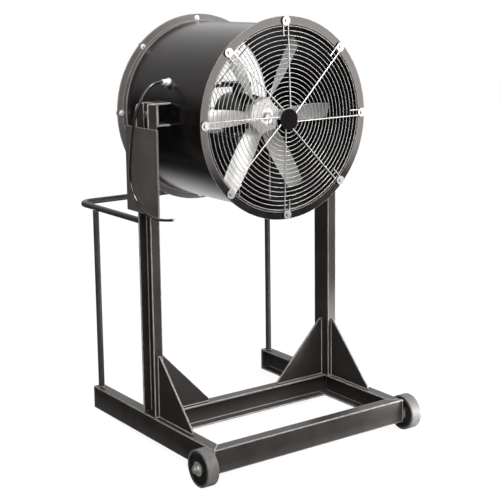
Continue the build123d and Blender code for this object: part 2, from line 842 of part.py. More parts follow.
# The cord's route on the level unit, chosen by hand: straight out of the connector, over the left
# post's open side, down outside the starter plate and forward under it to its bare end.
cord_route = [
    exit_start.position,
    exit_end.position,
    (-444, 508, 1492),
    (-466, 512, 1467),
    (-483, 517, 1436),
    (-499, 522, 1399),
    (-512, 528, 1351),
    (-520, 533, 1288),
    (-525, 538, 1222),
    (-527, 545, 1156),
    (-526, 544, 1090),
    (-522, 512, 1027),
    (-517, 446, 985),
    (-513, 366, 971),
    (-511, 292, 977),
    (-510, 236, 988),
]


def power_cord():
    """Round cord along its route, each corner an arc as large as its two runs allow."""
    points = [Vector(*point) for point in cord_route]
    runs = [(b - a).length for a, b in zip(points, points[1:])]
    radii = []
    for i in range(1, len(points) - 1):
        turn = (points[i] - points[i - 1]).get_angle(points[i + 1] - points[i])
        radii.append(0.45 * min(runs[i - 1], runs[i]) / tan(radians(turn / 2)))
    path = FilletPolyline(*points, radius=radii)
    cord = sweep(Plane(origin=path @ 0, z_dir=path % 0) * Circle(cord_d / 2), path=path)
    print("cord runs", [round(run) for run in runs])
    print("cord radii", [round(radius) for radius in radii])
    print("cord length", round(path.length, 1), "volume ratio",
          round(cord.volume / (path.length * pi * cord_d ** 2 / 4), 4))
    return cord


# ================================================================ all pieces, node by node
side_pieces = {
    "side_rail": left_side_rail(),
    "upright": left_upright(),
    "wheel_tread": left_wheel(wheel_tread()),
    "wheel_core": left_wheel(wheel_core()),
    "wheel_bushing": left_wheel(wheel_bushing()),
    "wheel_fitting": left_wheel(wheel_fitting()),
    "trunnion_bracket": left_trunnion_bracket(),
}
nodes = {"left_" + name: shape for name, shape in side_pieces.items()}
nodes.update({"right_" + name: mirrored(shape) for name, shape in side_pieces.items()})

paired_pieces = {
    "rail_end_caps": left_rail_end_cap(),
    "front_gussets": left_front_gusset(),
    "cross_gussets": left_cross_gusset(),
    "handle_posts": left_handle_post(),
    "axle_spacers": left_axle_spacer(),
    "axle_washers": left_axle_washer(),
    "axle_nuts": left_axle_nut(),
    "pivot_bolts": left_pivot_bolt(),
    "pivot_washers": left_pivot_washer(),
    "pivot_nuts": left_pivot_nut(),
}
nodes.update({name: Compound([shape, mirrored(shape)]) for name, shape in paired_pieces.items()})

nodes.update({
    "front_cross_rail": front_cross_rail(),
    "middle_cross_rail": middle_cross_rail(),
    "starter_plate": starter_plate(),
    "handle_tube": handle_tube(),
    "axle": axle(),
    "power_cord": power_cord(),
})

hub = propeller_hub()
front_bell = motor_front_bell()
front_bearing = motor_front_bearing()
front_ring = flange_ring()
front_guard = guard()
drum_pieces = {
    "drum_shell": drum_shell(),
    "front_flange_ring": front_ring,
    "rear_flange_ring": rear_side(front_ring),
    "front_guard": front_guard,
    "rear_guard": rear_side(front_guard),
    "guard_discs": Compound([guard_disc(), rear_side(guard_disc())]),
    "guard_bolts": guard_bolts(),
    "guard_washers": guard_washers(),
    "guard_nuts": guard_nuts(),
    "propeller_hub": hub,
    "propeller_blades": Compound(polar(blade() - hub, blade_count)),
    "motor_shaft": motor_shaft(),
    "shaft_nut": shaft_nut(),
    "motor_rotor": motor_rotor(),
    "motor_stator": motor_stator(),
    "motor_frame": motor_frame(),
    "motor_front_bell": front_bell,
    "motor_rear_bell": motor_turned(front_bell),
    "motor_bearings": Compound([front_bearing, motor_turned(front_bearing)]),
    "motor_foot": motor_foot(),
    "motor_bolts": motor_bolts(),
    "motor_nuts": motor_nuts(),
    "motor_stand": motor_stand(),
    "conduit_box": conduit_box(),
    "motor_lead": motor_lead(),
    "cord_connector": cord_connector(),
    "connector_locknut": connector_locknut(),
    "connector_clamp": connector_clamp(),
    "clamp_screws": clamp_screws(),
}
nodes.update({name: drum_frame * shape for name, shape in drum_pieces.items()})

os.makedirs("parts", exist_ok=True)
for name, shape in nodes.items():
    export_step(standing * shape, f"parts/{name}.step")

pivot = standing * Pos(0, upright_y, pivot_z)
axle_place = standing * Pos(0, axle_y, axle_z)
print("nodes", len(nodes), "lean", round(lean, 3))
print("pivot", [round(value, 4) for value in pivot.position])
print("axle", [round(value, 4) for value in axle_place.position])
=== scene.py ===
import bpy, bmesh, json
from math import cos, pi, radians, sin
from mathutils import Matrix, Vector


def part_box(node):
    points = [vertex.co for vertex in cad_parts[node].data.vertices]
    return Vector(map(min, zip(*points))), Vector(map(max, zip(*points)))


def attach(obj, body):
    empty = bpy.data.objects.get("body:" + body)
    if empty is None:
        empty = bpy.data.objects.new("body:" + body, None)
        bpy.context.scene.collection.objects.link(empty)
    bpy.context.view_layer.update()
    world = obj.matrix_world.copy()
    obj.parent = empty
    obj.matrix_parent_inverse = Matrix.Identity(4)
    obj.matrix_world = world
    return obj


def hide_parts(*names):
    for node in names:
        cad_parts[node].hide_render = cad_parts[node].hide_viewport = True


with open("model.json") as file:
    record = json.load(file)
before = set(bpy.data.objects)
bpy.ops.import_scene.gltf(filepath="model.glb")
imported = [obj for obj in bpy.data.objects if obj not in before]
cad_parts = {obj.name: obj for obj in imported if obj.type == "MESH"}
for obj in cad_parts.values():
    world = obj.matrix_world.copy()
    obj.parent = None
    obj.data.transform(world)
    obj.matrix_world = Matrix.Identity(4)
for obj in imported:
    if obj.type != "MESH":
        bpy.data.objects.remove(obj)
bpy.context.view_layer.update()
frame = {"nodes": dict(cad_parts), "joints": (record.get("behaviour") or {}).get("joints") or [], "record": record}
nodes = frame["nodes"]
joints = {joint["name"]: joint for joint in frame["joints"]}

# ---------------------------------------------------------------- the unit's own frame
# The fan is laid out level, in metres: x right, y back, z up, with zero at the foot of the front
# rail's face, in the middle. Then it leans back onto its wheels by LEAN, and stands where the
# tilt joint is at its place. POST_Y is the middle of both posts.
LEAN = radians(2.5080)
POST_Y = 0.507
TILT_LEVEL = Vector((0, POST_Y, 1.379))
tilt_at = Vector(joints["drum_tilt"]["pos_m"])
lean_turn = Matrix.Rotation(-LEAN, 4, "X")
STANDING = Matrix.Translation(tilt_at - lean_turn @ TILT_LEVEL) @ lean_turn

# The drum's frame: z out of the front, x right, y up, with zero at the middle of its axis.
DRUM_LEVEL = Vector((0, POST_Y, 1.355))
DRUM = STANDING @ Matrix.Translation(DRUM_LEVEL) @ Matrix.Rotation(pi / 2, 4, "X")
DRUM_HALF = 0.3302
SHELL_RADIUS = 0.3844
SHELL_INSIDE = 0.3815


# ---------------------------------------------------------------- helpers for shader nodes
# A Mix node's colour sockets share their names with its hidden ones, so they go by number.
MIX_FIRST, MIX_SECOND, MIX_RESULT = 6, 7, 2
NOISE_ROUGHNESS = 0.55
PATCH_DETAIL = 4.0
GRAIN_DETAIL = 2.0


def fill(tree, node, inputs):
    """Gives a node its inputs: another node's output is linked, and anything else is a value."""
    for socket, value in inputs.items():
        if isinstance(value, bpy.types.NodeSocket):
            tree.links.new(value, node.inputs[socket])
        else:
            node.inputs[socket].default_value = value
    return node


def add(tree, kind, inputs, operation=None):
    """Adds a node with its inputs, and with its operation if that kind has one."""
    node = tree.nodes.new(kind)
    if operation:
        node.operation = operation
    return fill(tree, node, inputs)


def maths(tree, operation, *terms):
    return add(tree, "ShaderNodeMath", dict(enumerate(terms)), operation).outputs["Value"]


def vector_maths(tree, operation, *terms, output="Vector"):
    return add(tree, "ShaderNodeVectorMath", dict(enumerate(terms)), operation).outputs[output]


def map_range(tree, value, start, end, low=0.0, high=1.0):
    """Goes from low to high, and no further, as value goes from start to end."""
    sockets = {"Value": value, "From Min": start, "From Max": end, "To Min": low, "To Max": high}
    return add(tree, "ShaderNodeMapRange", sockets).outputs["Result"]


def faded(tree, place, fades):
    """Product of a fade along each named axis of a place: start, end, low and high."""
    parts = add(tree, "ShaderNodeSeparateXYZ", {"Vector": place}).outputs
    product = None
    for axis, start, end, low, high in fades:
        fade = map_range(tree, parts[axis], start, end, low, high)
        product = fade if product is None else maths(tree, "MULTIPLY", product, fade)
    return product


def noise(tree, place, scale, detail=3.0):
    sockets = {"Vector": place, "Scale": scale, "Detail": detail, "Roughness": NOISE_ROUGHNESS}
    return add(tree, "ShaderNodeTexNoise", sockets).outputs["Fac"]


def as_colour(tone):
    return (*tone, 1) if isinstance(tone, tuple) else (tone, tone, tone, 1)


def ramp(tree, value, low, high, start=0.35, end=0.65):
    """Colour or grey between low and high as value goes from start to end."""
    node = tree.nodes.new("ShaderNodeValToRGB")
    for stop, position, tone in zip(node.color_ramp.elements, (start, end), (low, high)):
        stop.position = position
        stop.color = as_colour(tone)
    return fill(tree, node, {"Fac": value}).outputs["Color"]


def mixed(tree, factor, first, second):
    """Colour that goes from first to second as the factor goes from 0 to 1."""
    node = tree.nodes.new("ShaderNodeMix")
    node.data_type = "RGBA"
    sockets = {"Factor": factor, MIX_FIRST: first, MIX_SECOND: second}
    return fill(tree, node, sockets).outputs[MIX_RESULT]


def distance_from(tree, place):
    """Distance of each point of a surface from the z axis of a place."""
    point = tree.nodes.new("ShaderNodeTexCoord").outputs["Object"]
    arm = vector_maths(tree, "SUBTRACT", point, place.translation)
    across = vector_maths(tree, "CROSS_PRODUCT", arm, place.to_3x3() @ Vector((0, 0, 1)))
    return vector_maths(tree, "LENGTH", across, output="Value")


# ---------------------------------------------------------------- materials
WARM = (1.0, 0.93, 0.89, 1)
BUMP_STRENGTH = 0.4

# Dust, and painted bounce light from the floor, are thickest at the floor, where they hide this
# share of the paint, and lie unevenly.
DUST_AND_BOUNCE_TONE = (0.095, 0.087, 0.082)
DUST_AND_BOUNCE_SHARE = 0.9
DUST_AND_BOUNCE_SCALE = 18.0
DUST_AND_BOUNCE_LEAST = 0.7

# Edges get a painted highlight, which starts where the rounded normal and the flat one agree
# less than the first value, and is full at the second. The painted highlight is uneven along the edge.
EDGE_HIGHLIGHT_STARTS = 0.998
EDGE_HIGHLIGHT_FULL = 0.975
EDGE_HIGHLIGHT_SCALE = 30.0
EDGE_HIGHLIGHT_LEAST = 0.65
EDGE_SAMPLES = 6


def dusty_and_bounce_lit(tree, tone, place, dust_and_bounce_height):
    """The tone, greyed with dust and with painted bounce light from a height down to the floor."""
    world_place = tree.nodes.new("ShaderNodeNewGeometry").outputs["Position"]
    towards_floor = faded(tree, world_place, [("Z", dust_and_bounce_height, 0.0, 0.0, DUST_AND_BOUNCE_SHARE)])
    uneven = ramp(tree, noise(tree, place, DUST_AND_BOUNCE_SCALE), DUST_AND_BOUNCE_LEAST, 1.0)
    return mixed(tree, maths(tree, "MULTIPLY", towards_floor, uneven), tone, as_colour(DUST_AND_BOUNCE_TONE))


def edge_highlit(tree, tone, place, rounded, edge_highlight):
    """The tone, lightened to a painted edge highlight where the rounded normal leaves the flat one."""
    flat = tree.nodes.new("ShaderNodeNewGeometry").outputs["Normal"]
    agreement = vector_maths(tree, "DOT_PRODUCT", rounded, flat, output="Value")
    highlit = map_range(tree, agreement, EDGE_HIGHLIGHT_STARTS, EDGE_HIGHLIGHT_FULL)
    uneven = ramp(tree, noise(tree, place, EDGE_HIGHLIGHT_SCALE), EDGE_HIGHLIGHT_LEAST, 1.0, start=0.3, end=0.6)
    return mixed(tree, maths(tree, "MULTIPLY", highlit, uneven), tone, as_colour(edge_highlight))


def surface(name, colour, colour_b, rough, *, patch, grain, grain_height, metallic=0.0,
            specular=0.5, coat=0.0, edge=0.0, edge_highlight=None, dust_and_bounce_height=0.0):
    """A surface with patches between two colours and two roughnesses, and a fine grain in relief.

    The patch and the grain are noise scales. Without roughnesses, the caller links its own. With
    an edge radius, sharp corners are shaded as if rounded, and with an edge highlight colour a
    highlight is painted on them. With a dust and bounce height, the surface greys towards the floor
    below that height, with dust and with painted bounce light from the floor."""
    material = bpy.data.materials.new(name)
    material.use_nodes = True
    tree = material.node_tree
    place = tree.nodes.new("ShaderNodeTexCoord").outputs["Object"]
    patches = noise(tree, place, patch, PATCH_DETAIL)
    tone = ramp(tree, patches, colour, colour_b)
    if dust_and_bounce_height:
        tone = dusty_and_bounce_lit(tree, tone, place, dust_and_bounce_height)
    relief = {"Strength": BUMP_STRENGTH, "Distance": grain_height,
              "Height": noise(tree, place, grain, GRAIN_DETAIL)}
    if edge:
        corner = add(tree, "ShaderNodeBevel", {"Radius": edge})
        corner.samples = EDGE_SAMPLES
        relief["Normal"] = corner.outputs["Normal"]
    if edge_highlight:
        tone = edge_highlit(tree, tone, place, relief["Normal"], edge_highlight)
    shader = tree.nodes["Principled BSDF"]
    if rough:
        fill(tree, shader, {"Roughness": ramp(tree, patches, *rough, start=0.3, end=0.7)})
    fill(tree, shader, {
        "Base Color": tone,
        "Normal": add(tree, "ShaderNodeBump", relief).outputs["Normal"],
        "Metallic": metallic,
        "Specular IOR Level": specular,
        "Specular Tint": WARM,
        "Coat Weight": coat,
    })
    return material


def zinc_plate(name, colour, colour_b, rough, metallic, edge=0.0008):
    return surface(name, colour, colour_b, rough, metallic=metallic, patch=60.0, grain=900.0,
                   grain_height=0.00005, edge=edge)


def bright_wire(name, colour, colour_b, rough, metallic):
    return surface(name, colour, colour_b, rough, metallic=metallic, patch=40.0, grain=900.0,
                   grain_height=0.00004)


# Paints. In these and in the surfaces below, an edge colour is a painted highlight along the edges.
black_paint = surface("black_enamel", (0.006, 0.005, 0.005), (0.010, 0.009, 0.009), (0.12, 0.18),
                      patch=9.0, grain=420.0, grain_height=0.00006, edge=0.0022,
                      edge_highlight=(0.45, 0.42, 0.40))
frame_paint = surface("black_frame_enamel", (0.025, 0.0225, 0.0215), (0.035, 0.032, 0.0305),
                      (0.30, 0.40), patch=8.0, grain=260.0, grain_height=0.00015, specular=0.34,
                      edge=0.0052, edge_highlight=(0.66, 0.62, 0.60), dust_and_bounce_height=0.085)
# The starter plate takes a lighter copy of the black enamel, which paints the light on its face.
lit_plate_paint = surface("black_plate_lit_enamel", (0.085, 0.077, 0.074), (0.105, 0.096, 0.092),
                      (0.34, 0.44), patch=8.0, grain=260.0, grain_height=0.00015, edge=0.0026,
                      edge_highlight=(0.50, 0.46, 0.44))
# The rear flange takes a lighter copy of the black enamel, which paints the light on its face.
lit_flange_paint = surface("rear_flange_lit_enamel", (0.085, 0.080, 0.077), (0.115, 0.108, 0.105),
                       (0.32, 0.44), patch=9.0, grain=300.0, grain_height=0.0001, edge=0.0022,
                       edge_highlight=(0.55, 0.51, 0.49))
drum_paint = surface("drum_enamel", (0.003, 0.0026, 0.0025), (0.006, 0.0052, 0.005), None,
                     patch=9.0, grain=420.0, grain_height=0.00006, edge=0.0015,
                     edge_highlight=(0.16, 0.15, 0.145))
disc_paint = surface("flat_black_paint", (0.002, 0.0018, 0.0018), (0.004, 0.0035, 0.0035),
                     (0.40, 0.55), patch=30.0, grain=300.0, grain_height=0.0001, specular=0.04,
                     edge=0.001, edge_highlight=(0.10, 0.095, 0.09))
motor_paint = surface("motor_enamel", (0.008, 0.008, 0.008), (0.014, 0.014, 0.014), (0.25, 0.36),
                      patch=20.0, grain=300.0, grain_height=0.0002, edge=0.001)

# Metals.
zinc = zinc_plate("bright_zinc_plate", (0.42, 0.41, 0.40), (0.32, 0.31, 0.305), (0.28, 0.38),
                  metallic=0.85, edge=0.0006)
dull_zinc = zinc_plate("dull_zinc_plate", (0.30, 0.295, 0.29), (0.22, 0.215, 0.21), (0.40, 0.52),
                       metallic=0.7)
# The wheels' axle, nuts and washers take a lighter copy of the zinc plate, which paints highlights on them.
lit_wheel_zinc = zinc_plate("wheel_lit_zinc_plate", (0.70, 0.69, 0.68), (0.55, 0.54, 0.53), (0.24, 0.34),
                        metallic=0.7)
# The guard nuts, their flanges and the cord connector take a paler copy of the zinc plate, which paints the light
# on them.
lit_nut_zinc = zinc_plate("pale_lit_zinc_plate", (0.90, 0.885, 0.87), (0.78, 0.77, 0.76), (0.30, 0.40),
                      metallic=0.15)
ring_wire = bright_wire("bright_wire", (0.46, 0.45, 0.44), (0.36, 0.35, 0.345), (0.22, 0.32),
                        metallic=0.75)
spoke_wire = bright_wire("bright_spoke", (0.66, 0.645, 0.63), (0.54, 0.53, 0.52), (0.24, 0.34),
                         metallic=0.70)
aluminium = surface("bare_aluminium", (0.78, 0.765, 0.75), (0.64, 0.63, 0.62), (0.30, 0.42),
                    metallic=0.50, patch=14.0, grain=500.0, grain_height=0.00006, edge=0.001)
steel = surface("ground_steel", (0.45, 0.45, 0.45), (0.36, 0.36, 0.36), (0.3, 0.45),
                metallic=1.0, patch=50.0, grain=700.0, grain_height=0.00005)
casting = surface("wheel_casting", (0.020, 0.019, 0.018), (0.045, 0.043, 0.041), (0.45, 0.65),
                  metallic=0.2, patch=50.0, grain=500.0, grain_height=0.0004, edge=0.001,
                  edge_highlight=(0.30, 0.29, 0.28))
conduit = surface("flexible_conduit", (0.03, 0.03, 0.03), (0.06, 0.06, 0.06), (0.4, 0.6),
                  metallic=0.4, patch=30.0, grain=400.0, grain_height=0.0003)

# Rubbers.
tread = surface("grey_tread", (0.105, 0.102, 0.099), (0.14, 0.136, 0.132), (0.42, 0.55),
                patch=30.0, grain=350.0, grain_height=0.0003, specular=0.35, edge=0.001,
                edge_highlight=(0.5, 0.49, 0.48))
jacket = surface("cord_jacket", (0.010, 0.009, 0.009), (0.018, 0.016, 0.016), (0.14, 0.22),
                 patch=30.0, grain=600.0, grain_height=0.0001, specular=1.0, coat=1.0)

# The drum is flat black inside, and gets its gloss across this step in its wall.
GLOSS_STEP = 0.001
tree = drum_paint.node_tree
from_axis = distance_from(tree, nodes["drum_shell"].matrix_world.inverted() @ DRUM)
for socket, inside, outside in (("Specular IOR Level", 0.04, 0.5), ("Roughness", 0.45, 0.23)):
    value = map_range(tree, from_axis, SHELL_INSIDE, SHELL_INSIDE + GLOSS_STEP, inside, outside)
    fill(tree, tree.nodes["Principled BSDF"], {socket: value})

# The faces of the wheels' hubs are machined bright, out to this radius and within this blur.
HUB_FACE = 0.0285
HUB_FACE_BLUR = 0.0004
HUB_FACE_COLOUR = (0.34, 0.33, 0.32)
tree = casting.node_tree
low, high = (Vector(corner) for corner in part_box("axle"))
hub_axis = Matrix.Translation((low + high) / 2) @ Matrix.Rotation(pi / 2, 4, "Y")
machined = map_range(tree, distance_from(tree, hub_axis), HUB_FACE + HUB_FACE_BLUR, HUB_FACE)
shader = tree.nodes["Principled BSDF"]
paint = shader.inputs["Base Color"].links[0].from_socket
fill(tree, shader, {"Base Color": mixed(tree, machined, paint, as_colour(HUB_FACE_COLOUR))})

slot_materials = {
    "black_paint": frame_paint, "grey_tread": tread, "wheel_casting": casting,
    "bushing_steel": steel, "bright_zinc": zinc, "bare_aluminium": aluminium,
    "motor_paint": motor_paint, "motor_steel": steel, "flexible_conduit": conduit,
    "black_rubber": jacket,
}
piece_materials = {
    "drum_shell": drum_paint, "front_flange_ring": black_paint, "rear_flange_ring": lit_flange_paint,
    "starter_plate": lit_plate_paint, "guard_discs": disc_paint, "guard_nuts": lit_nut_zinc,
    "cord_connector": lit_nut_zinc, "shaft_nut": dull_zinc, "axle": lit_wheel_zinc,
    "axle_nuts": lit_wheel_zinc, "axle_washers": lit_wheel_zinc,
}
for entry in frame["record"]["subparts"]:
    slot_material = slot_materials[entry["material_slot"]]
    mesh = nodes[entry["node"]].data
    mesh.materials.clear()
    mesh.materials.append(piece_materials.get(entry["node"], slot_material))


# ---------------------------------------------------------------- helpers for pieces
def put(name, data):
    """Puts new data in the scene as an object of that name."""
    obj = bpy.data.objects.new(name, data)
    bpy.context.scene.collection.objects.link(obj)
    return obj


def keep(piece, body, material):
    """Gives a finished piece its material and its place on a body."""
    piece.data.materials.clear()
    piece.data.materials.append(material)
    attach(piece, body)


def round_curve(name, radius, resolution):
    """An empty curve that is filled out to a round wire."""
    data = bpy.data.curves.new(name, "CURVE")
    data.dimensions = "3D"
    data.bevel_depth = radius
    data.bevel_resolution = resolution
    data.use_fill_caps = True
    return data


def spline(data, kind, points):
    line = data.splines.new(kind)
    line.points.add(len(points) - 1)
    for point, co in zip(line.points, points):
        point.co = (*co, 1)
    return line


def wires(name, runs, radius, place, closed=False, resolution=4):
    """Round wires through lists of points, all in one object."""
    data = round_curve(name, radius, resolution)
    for points in runs:
        line = spline(data, "POLY", [place @ Vector(point) for point in points])
        line.use_cyclic_u = closed
        line.use_smooth = True
    return put(name, data)


def circle(radius, steps, centre=(0, 0), z=0.0):
    """Points round a circle, level at z."""
    turns = [2 * pi * k / steps for k in range(steps)]
    return [(centre[0] + radius * cos(a), centre[1] + radius * sin(a), z) for a in turns]


# ---------------------------------------------------------------- wire guards
# Each guard is rings on hairpin spokes, dished out by DISH at the middle. A spoke's long run is
# parted at SPOKE_PARTS, so that the smooth shading of its end and its bend stays near them.
WIRE = 0.0030
SPOKE = 0.0054
RING_FIRST = 0.057
RING_LAST = 0.376
RING_COUNT = 18
RING_STEPS = 120
DISH = 0.014
SPOKE_PARTS = (0.12, 0.2, 0.3)
BOLT_RADIUS = 0.397
HALF_GAP = 0.012
BEND_STEPS = 12
SHORT_LEG = 0.062
DISC_RADIUS = 0.043
SPOKE_COUNT = 8


def dished(radius):
    return DISH * (1 - radius / RING_LAST) if radius < RING_LAST else 0.0


def guard_rings(side):
    rings = []
    for i in range(RING_COUNT):
        radius = RING_FIRST + (RING_LAST - RING_FIRST) * i / (RING_COUNT - 1)
        z = side * (DRUM_HALF + dished(radius) - WIRE / 2)
        rings.append(circle(radius, RING_STEPS, z=z))
    return rings


def hairpin(turn, side):
    """Centreline of one spoke: out from the disc, round the bolt and a short way back."""
    out = [(radius, -HALF_GAP, dished(radius))
           for radius in (DISC_RADIUS - SPOKE, *SPOKE_PARTS, RING_LAST, BOLT_RADIUS)]
    angles = [-pi / 2 + pi * k / BEND_STEPS for k in range(1, BEND_STEPS)]
    bend = [(BOLT_RADIUS + HALF_GAP * cos(a), HALF_GAP * sin(a), 0) for a in angles]
    back = [(radius, HALF_GAP, dished(radius))
            for radius in (BOLT_RADIUS, RING_LAST, BOLT_RADIUS - SHORT_LEG)]
    c, s = cos(turn), sin(turn)
    lift = DRUM_HALF + SPOKE / 2
    return [(x * c - y * s, x * s + y * c, side * (lift + z)) for x, y, z in out + bend + back]


# The rear rings take the paler spoke wire, a lighter copy of the rings' wire, which paints light on them where
# they sit in the drum's shade.
for end, side, ring_wire_lit_at_rear in (("front", 1, ring_wire), ("rear", -1, spoke_wire)):
    rings = wires(f"{end}_guard_rings", guard_rings(side), WIRE / 2, DRUM, closed=True)
    spokes = wires(f"{end}_guard_spokes",
                   [hairpin(2 * pi * k / SPOKE_COUNT, side) for k in range(SPOKE_COUNT)],
                   SPOKE / 2, DRUM)
    for piece, material in ((rings, ring_wire_lit_at_rear), (spokes, spoke_wire)):
        keep(piece, "drum", material)
        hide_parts(f"{end}_guard")


# ---------------------------------------------------------------- nut flanges
# Each guard nut has a round flange, from the nut's corners out, which lies on the drum's own
# flange. Corners and flange are radii.
NUT_CORNERS = 0.0076
NUT_FLANGE = 0.0120
NUT_FLANGE_WALL = 0.0018
NUT_FLANGE_RIM = NUT_FLANGE_WALL * 0.6
NUT_FLANGE_BEVEL = 0.0010
NUT_FLANGE_STEPS = 36
DRUM_FLANGE_WALL = 0.0048


def ring_mesh(name, places, profile, steps):
    """One mesh of equal turned rings: the profile's radius and height turn about each place's z."""
    mesh = bmesh.new()
    for place in places:
        loops = [[mesh.verts.new(place @ Vector(point)) for point in circle(radius, steps, z=z)]
                 for radius, z in profile]
        for i, loop in enumerate(loops):
            following = loops[(i + 1) % len(loops)]
            for k in range(steps):
                j = (k + 1) % steps
                mesh.faces.new((loop[k], loop[j], following[j], following[k]))
    bmesh.ops.recalc_face_normals(mesh, faces=mesh.faces)
    data = bpy.data.meshes.new(name)
    mesh.to_mesh(data)
    mesh.free()
    return put(name, data)


nut_places = []
for side in (1, -1):
    facing = Matrix.Identity(4) if side < 0 else Matrix.Rotation(pi, 4, "X")
    for seat in circle(BOLT_RADIUS, SPOKE_COUNT, z=side * (DRUM_HALF - DRUM_FLANGE_WALL)):
        nut_places.append(DRUM @ Matrix.Translation(seat) @ facing)
nut_flanges = ring_mesh("guard_nut_flanges", nut_places, (
    (NUT_CORNERS, 0), (NUT_FLANGE, 0), (NUT_FLANGE, NUT_FLANGE_RIM),
    (NUT_FLANGE - NUT_FLANGE_BEVEL, NUT_FLANGE_WALL), (NUT_CORNERS, NUT_FLANGE_WALL)),
    NUT_FLANGE_STEPS)
keep(nut_flanges, "drum", lit_nut_zinc)

# ---------------------------------------------------------------- welds
# Fillet welds with a rippled surface, sunk half-way into the two plates that they join. They stop
# short of a gusset's tips by WELD_TOE and of a channel's corners by WELD_CORNER.
CHANNEL = 0.1016
RAIL_TOP = CHANNEL
WEB_X = 0.4436
TIP_X = 0.4873
POST_FRONT = POST_Y - CHANNEL / 2
POST_BACK = POST_Y + CHANNEL / 2
GUSSET_BASE = 0.256
GUSSET_HEIGHT = 0.268
GUSSET_HALF_WALL = 0.003175
GUSSET_X = (WEB_X + TIP_X) / 2
HANDLE_X = 0.4699
HANDLE_Y = 0.9620
HANDLE_RADIUS = 0.01335
HANDLE_STEPS = 24
WELD = 0.0028
WELD_OUT = 0.0008
WELD_STEP = 0.0035
WELD_DIP = 0.86
WELD_TOE = 0.004
WELD_CORNER = 0.003


def weld_line(start, end, out):
    """Points from start to end, moved out of the corner."""
    start, end, out = Vector(start), Vector(end), Vector(out) * WELD_OUT
    count = max(2, round((end - start).length / WELD_STEP))
    return [start.lerp(end, i / count) + out for i in range(count + 1)]


def gusset_welds(toe, corner, across, outward):
    """Welds on both faces of a gusset, along its base from toe to corner and up the post.

    Across is the way through the gusset, and outward the way from the post to the toe."""
    upward = Vector((0, 0, 1))
    runs = []
    for side in (-1, 1):
        face = across * side * GUSSET_HALF_WALL
        foot = corner + face
        top = foot + upward * (GUSSET_HEIGHT - WELD_TOE)
        runs.append(weld_line(toe + face, foot, across * side + upward))
        runs.append(weld_line(foot, top, across * side + outward))
    return runs


gusset_runs, upright_runs, post_runs = [], [], []
for s in (-1, 1):
    front_corner = Vector((s * GUSSET_X, POST_FRONT, RAIL_TOP))
    front_toe = Vector((s * GUSSET_X, POST_FRONT - GUSSET_BASE + WELD_TOE, RAIL_TOP))
    gusset_runs += gusset_welds(front_toe, front_corner, Vector((1, 0, 0)), Vector((0, -1, 0)))
    cross_corner = Vector((s * WEB_X, POST_Y, RAIL_TOP))
    cross_toe = Vector((s * (WEB_X - GUSSET_BASE + WELD_TOE), POST_Y, RAIL_TOP))
    gusset_runs += gusset_welds(cross_toe, cross_corner, Vector((0, 1, 0)), Vector((-s, 0, 0)))
    for start, end, y, outward in (
            (TIP_X - WELD_CORNER, WEB_X + WELD_CORNER, POST_BACK, 1),
            (WEB_X + WELD_CORNER, GUSSET_X - WELD_TOE, POST_FRONT, -1),
            (GUSSET_X + WELD_TOE, TIP_X - WELD_CORNER, POST_FRONT, -1)):
        upright_runs.append(weld_line((s * start, y, RAIL_TOP), (s * end, y, RAIL_TOP),
                                      (0, outward, 1)))
    post_runs.append(circle(HANDLE_RADIUS, HANDLE_STEPS, (s * HANDLE_X, HANDLE_Y),
                            RAIL_TOP + WELD_OUT))
for name, runs, closed in (("gusset_welds", gusset_runs, False),
                           ("upright_welds", upright_runs, False),
                           ("handle_post_welds", post_runs, True)):
    welds = wires(name, runs, WELD, STANDING, closed=closed, resolution=2)
    for line in welds.data.splines:
        for i, point in enumerate(line.points):
            point.radius = 1.0 if i % 2 else WELD_DIP
    keep(welds, "stand", frame_paint)

# ---------------------------------------------------------------- power cord
# The cord leaves the connector's outlet on the drum's left side, straight at first, and then
# follows listed points on the level unit.
CORD_DIAMETER = 0.0120
CONNECTOR_ANGLE = radians(157.0)
CONNECTOR_TURN = radians(25.0)
OUTLET_HEIGHT = 0.008
CORD_LEAVES = 0.024
CORD_STRAIGHT_TO = 0.053


def drum_way(angle):
    return Vector((cos(angle), sin(angle), 0))


outlet = drum_way(CONNECTOR_ANGLE) * (SHELL_RADIUS + OUTLET_HEIGHT)
outlet_way = drum_way(CONNECTOR_ANGLE + CONNECTOR_TURN)
cord_start = DRUM @ (outlet + outlet_way * CORD_LEAVES)
cord_route = [cord_start, DRUM @ (outlet + outlet_way * CORD_STRAIGHT_TO)] + [
    STANDING @ Vector(point) for point in (
        (-0.444, 0.508, 1.492),
        (-0.466, 0.512, 1.467),
        (-0.483, 0.517, 1.436),
        (-0.499, 0.522, 1.399),
        (-0.512, 0.528, 1.351),
        (-0.520, 0.533, 1.288),
        (-0.525, 0.538, 1.222),
        (-0.527, 0.545, 1.156),
        (-0.526, 0.544, 1.090),
        (-0.522, 0.512, 1.027),
        (-0.517, 0.446, 0.985),
        (-0.513, 0.366, 0.971),
        (-0.511, 0.292, 0.977),
        (-0.510, 0.236, 0.988),
    )]
cord_data = round_curve("power_cord_jacket", CORD_DIAMETER / 2, resolution=6)
cord_data.resolution_u = 8
cord_line = spline(cord_data, "NURBS", cord_route)
cord_line.order_u = 3
cord_line.use_endpoint_u = True
cord = put("power_cord_jacket", cord_data)
keep(cord, "drum", jacket)
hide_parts("power_cord")

